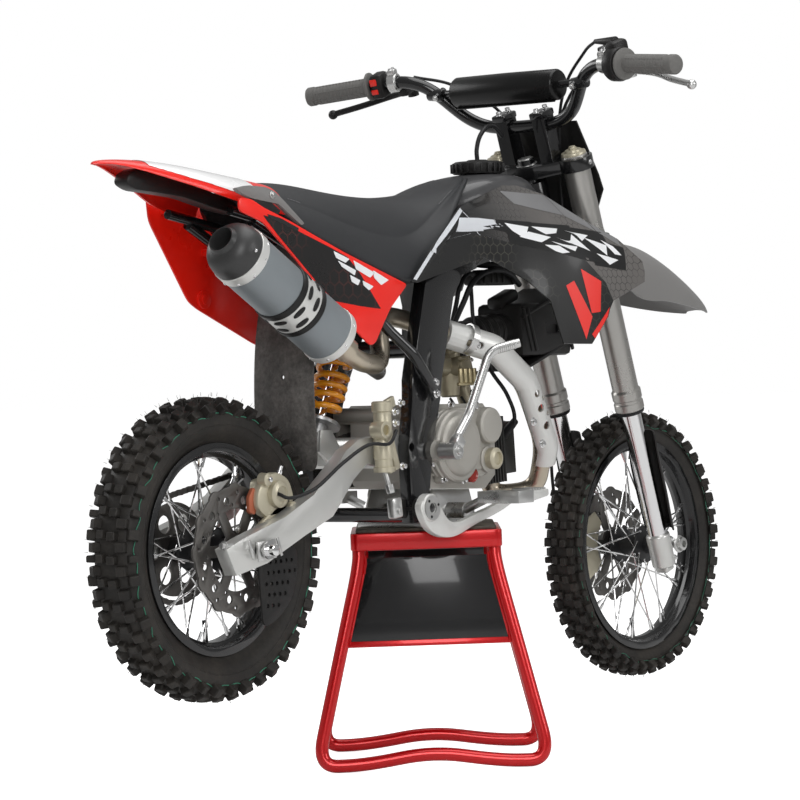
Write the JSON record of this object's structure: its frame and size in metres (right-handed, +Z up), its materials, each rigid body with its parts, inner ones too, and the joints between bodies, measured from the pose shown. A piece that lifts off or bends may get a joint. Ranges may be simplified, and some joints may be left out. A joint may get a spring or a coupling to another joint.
{
  "type": "dirt bike on a paddock stand",
  "caption": "Small off-road pit bike with knobby tyres, red and grey plastics and a side silencer, held up on a red tube-frame paddock stand.",
  "frame": {"origin": "middle of the overall length and width, on the floor under the stand's feet", "axes": "X forward along the bike, Y to the rider's left, Z up"},
  "size_m": [1.6698, 0.7934, 1.2073],
  "materials": {
    "stand_red": "metallic gloss",
    "black_gloss": "gloss",
    "black_rubber": "matt, scuffed",
    "frame_black": "satin",
    "arm_alloy": "brushed",
    "steel": "satin",
    "dark_steel": "oiled",
    "champagne": "satin anodised",
    "shock_alloy": "satin",
    "spring_orange": "gloss",
    "engine_grey": "cast, painted",
    "carb_brass": "satin",
    "black_plastic": "satin",
    "pipe_steel": "heat tinted",
    "shield_alloy": "satin",
    "silencer_grey": "matt",
    "chrome": "polished",
    "fork_titanium": "hard anodised",
    "lever_alloy": "satin",
    "seat_cover": "grained",
    "red_plastic": "gloss",
    "grey_plastic": "satin",
    "grip_rubber": "matt",
    "mud_rubber": "matt, dusty",
    "tyre_rubber": "matt"
  },
  "bodies": {
    "chassis": {"stand_frame": "stand_red", "stand_panels": "black_gloss", "stand_pad": "black_rubber", "main_frame": "frame_black", "subframe": "black_gloss", "swingarm": "arm_alloy", "rear_axle": "steel", "chain": "dark_steel", "rear_caliper": "champagne", "disc_guard": "frame_black", "shock_body": "shock_alloy", "shock_spring": "spring_orange", "engine_block": "engine_grey", "clutch_cover": "engine_grey", "cylinder": "engine_grey", "carburettor": "carb_brass", "airbox": "black_plastic", "exhaust_pipe": "pipe_steel", "heat_shield": "shield_alloy", "silencer": "silencer_grey", "silencer_cap": "black_plastic", "kick_lever": "chrome", "gear_lever": "steel", "brake_pedal": "shield_alloy", "rear_master_cylinder": "champagne", "footpegs": "steel", "fuel_tank": "black_plastic", "tank_cap": "black_plastic", "seat": "seat_cover", "rear_fender": "red_plastic", "side_panels": "red_plastic", "tank_shrouds": "grey_plastic", "mud_flap": "mud_rubber", "frame_cables": "black_rubber"},
    "steering": {"lower_clamp": "black_gloss", "top_clamp": "black_gloss", "fork_outers": "fork_titanium", "fork_inners": "chrome", "fork_guards": "black_plastic", "handlebar": "black_gloss", "bar_pad": "black_rubber", "grips": "grip_rubber", "bar_controls": "black_plastic", "hand_levers": "lever_alloy", "number_plate": "black_plastic", "front_fender": "grey_plastic", "front_caliper": "champagne", "front_axle": "steel", "steering_cables": "black_rubber"},
    "front_wheel": {"front_tyre": "tyre_rubber", "front_rim": "black_gloss", "front_spokes": "steel", "front_disc": "dark_steel"},
    "rear_wheel": {"rear_tyre": "tyre_rubber", "rear_rim": "black_gloss", "rear_spokes": "steel", "rear_disc": "dark_steel", "rear_sprocket": "dark_steel"}
  },
  "joints": [
    {"name": "steering", "type": "hinge", "parent": "chassis", "child": "steering", "pos_m": [0.32617, 0, 0.925], "axis": [-0.314, 0, 0.9494], "range_deg": [-40, 40]},
    {"name": "front_wheel_spin", "type": "hinge", "parent": "steering", "child": "front_wheel", "pos_m": [0.59292, 0, 0.32227], "axis": [0, 1, 0], "continuous": true},
    {"name": "rear_wheel_spin", "type": "hinge", "parent": "chassis", "child": "rear_wheel", "pos_m": [-0.59492, 0, 0.38975], "axis": [0, 1, 0], "continuous": true}
  ]
}
